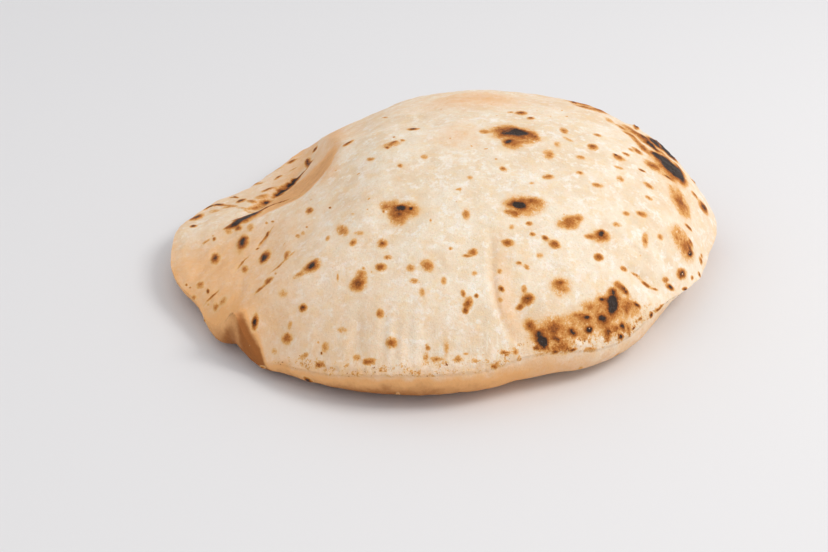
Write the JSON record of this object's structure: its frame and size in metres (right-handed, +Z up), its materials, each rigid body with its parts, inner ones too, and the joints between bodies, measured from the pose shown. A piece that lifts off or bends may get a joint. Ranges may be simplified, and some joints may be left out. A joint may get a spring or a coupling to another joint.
{
  "type": "naan flatbread",
  "caption": "Round puffed naan with a broad blown-up dome, a fallen-in flap on the left, a folded rim and scattered char spots.",
  "frame": {"origin": "middle of the bread's footprint, at the height it rests on", "axes": "+Z up through the dome, +X to the bread's right, +Y to its back, so that the fallen-in flap is at -X and the folded lip at -Y"},
  "size_m": [0.2214, 0.218, 0.057],
  "materials": {
    "naan_skin": "matt, floury baked skin"
  },
  "bodies": {
    "root": {"naan": "naan_skin"}
  },
  "joints": []
}
